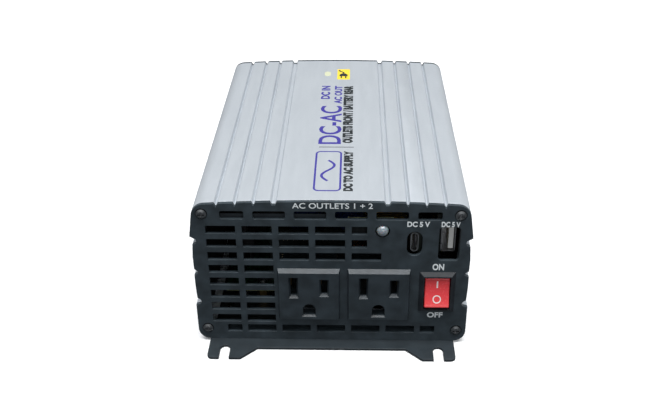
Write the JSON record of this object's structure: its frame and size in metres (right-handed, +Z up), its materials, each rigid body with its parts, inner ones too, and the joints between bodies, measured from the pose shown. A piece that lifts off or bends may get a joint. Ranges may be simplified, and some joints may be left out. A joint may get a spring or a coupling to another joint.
{
  "type": "power inverter",
  "caption": "Compact DC to AC power inverter: ribbed aluminium hood on a steel foot plate, vented front with mains outlets, USB ports and rocker switch, rear fan and battery posts.",
  "frame": {"origin": "bottom centre of the bounding box, on the underside of the base plate", "axes": "+Z up, -Y out of the front panel with the outlets, +X to the right when facing the front panel"},
  "size_m": [0.1144, 0.1862, 0.07],
  "materials": {
    "hood_silver": "satin silver anodised",
    "plate_dark": "fine satin powder coat",
    "panel_black": "fine moulded texture",
    "outlet_black": "satin moulded",
    "switch_black": "satin moulded",
    "rocker_red": "glossy moulded",
    "led_milky": "diffused epoxy",
    "screw_black": "black oxide",
    "bright_steel": "plated",
    "guard_wire": "black enamel",
    "brass": "plain",
    "tinned_brass": "nickel flashed",
    "board_green": "solder mask",
    "board_yellow": "bare laminate",
    "port_black": "moulded",
    "port_white": "moulded",
    "fan_black": "moulded",
    "post_red": "moulded",
    "post_black": "moulded",
    "ferrite": "sintered",
    "winding_yellow": "wound tape",
    "sink_aluminium": "mill",
    "chip_black": "moulded package",
    "can_blue": "printed sleeve",
    "core_yellow": "coated core",
    "copper": "enamelled copper wire",
    "fuse_yellow": "tinted",
    "wire_red": "insulation",
    "wire_black": "insulation"
  },
  "bodies": {
    "casing": {"top_cover": "hood_silver", "base_plate": "plate_dark", "front_panel": "panel_black", "rear_panel": "panel_black", "front_screws": "screw_black", "rear_screws": "screw_black", "base_screws": "screw_black", "outlet_left": "outlet_black", "outlet_right": "outlet_black", "outlet_contacts_left": "brass", "outlet_contacts_right": "brass", "switch_housing": "switch_black", "switch_terminals": "tinned_brass", "status_led": "led_milky", "led_board": "board_yellow", "usb_c_shell": "bright_steel", "usb_c_tongue": "port_black", "usb_c_board": "board_green", "usb_a_shell": "bright_steel", "usb_a_tongue": "port_white", "usb_a_board": "board_green", "fan_frame": "fan_black", "fan_bearing": "brass", "fan_guard": "guard_wire", "fan_screws": "screw_black", "positive_collar": "post_red", "negative_collar": "post_black", "positive_stud": "tinned_brass", "negative_stud": "tinned_brass", "ground_screw": "tinned_brass", "main_board": "board_green", "board_standoffs": "brass", "board_screws": "bright_steel", "transformer_cores": "ferrite", "transformer_windings": "winding_yellow", "heat_sink_dc": "sink_aluminium", "heat_sink_ac": "sink_aluminium", "mosfets_dc": "chip_black", "mosfets_ac": "chip_black", "bulk_capacitors": "can_blue", "input_capacitors": "can_blue", "choke_core": "core_yellow", "choke_winding": "copper", "blade_fuses": "fuse_yellow", "control_board": "board_green", "buzzer": "port_black", "positive_cable": "wire_red", "negative_cable": "wire_black", "outlet_wires": "wire_black", "switch_wires": "wire_red", "fan_wires": "wire_red"},
    "rocker": {"switch_rocker": "rocker_red", "switch_plunger": "bright_steel"},
    "seesaw": {"switch_seesaw": "brass"},
    "fan_wheel": {"fan_rotor": "fan_black", "fan_shaft": "bright_steel"},
    "positive_washer": {"positive_washer": "bright_steel"},
    "positive_knob": {"positive_knob": "post_red"},
    "negative_washer": {"negative_washer": "bright_steel"},
    "negative_knob": {"negative_knob": "post_black"}
  },
  "joints": [
    {"name": "rocker_tilt", "type": "hinge", "parent": "casing", "child": "rocker", "pos_m": [0.0439, -0.0785, 0.02695], "axis": [1, 0, 0], "range_deg": [0, 20]},
    {"name": "seesaw_tilt", "type": "hinge", "parent": "casing", "child": "seesaw", "pos_m": [0.0439, -0.0716, 0.02695], "axis": [1, 0, 0], "range_deg": [-10, 0]},
    {"name": "fan_spin", "type": "hinge", "parent": "casing", "child": "fan_wheel", "pos_m": [-0.0175, 0.062, 0.0356], "axis": [0, 1, 0], "continuous": true},
    {"name": "positive_washer_slide", "type": "slide", "parent": "casing", "child": "positive_washer", "axis": [0, 1, 0], "range_m": [0, 0.005]},
    {"name": "positive_knob_turn", "type": "hinge", "parent": "positive_washer", "child": "positive_knob", "pos_m": [0.0245, 0.0781, 0.0392], "axis": [0, 1, 0], "range_deg": [0, 1800]},
    {"name": "negative_washer_slide", "type": "slide", "parent": "casing", "child": "negative_washer", "axis": [0, 1, 0], "range_m": [0, 0.005]},
    {"name": "negative_knob_turn", "type": "hinge", "parent": "negative_washer", "child": "negative_knob", "pos_m": [0.0425, 0.0781, 0.0392], "axis": [0, 1, 0], "range_deg": [0, 1800]}
  ],
  "couplings": [
    {"joint": "seesaw_tilt", "follows": "rocker_tilt", "ratio": -0.5},
    {"joint": "positive_knob_turn", "follows": "positive_washer_slide", "rad_per_m": 6283.2},
    {"joint": "negative_knob_turn", "follows": "negative_washer_slide", "rad_per_m": 6283.2}
  ]
}
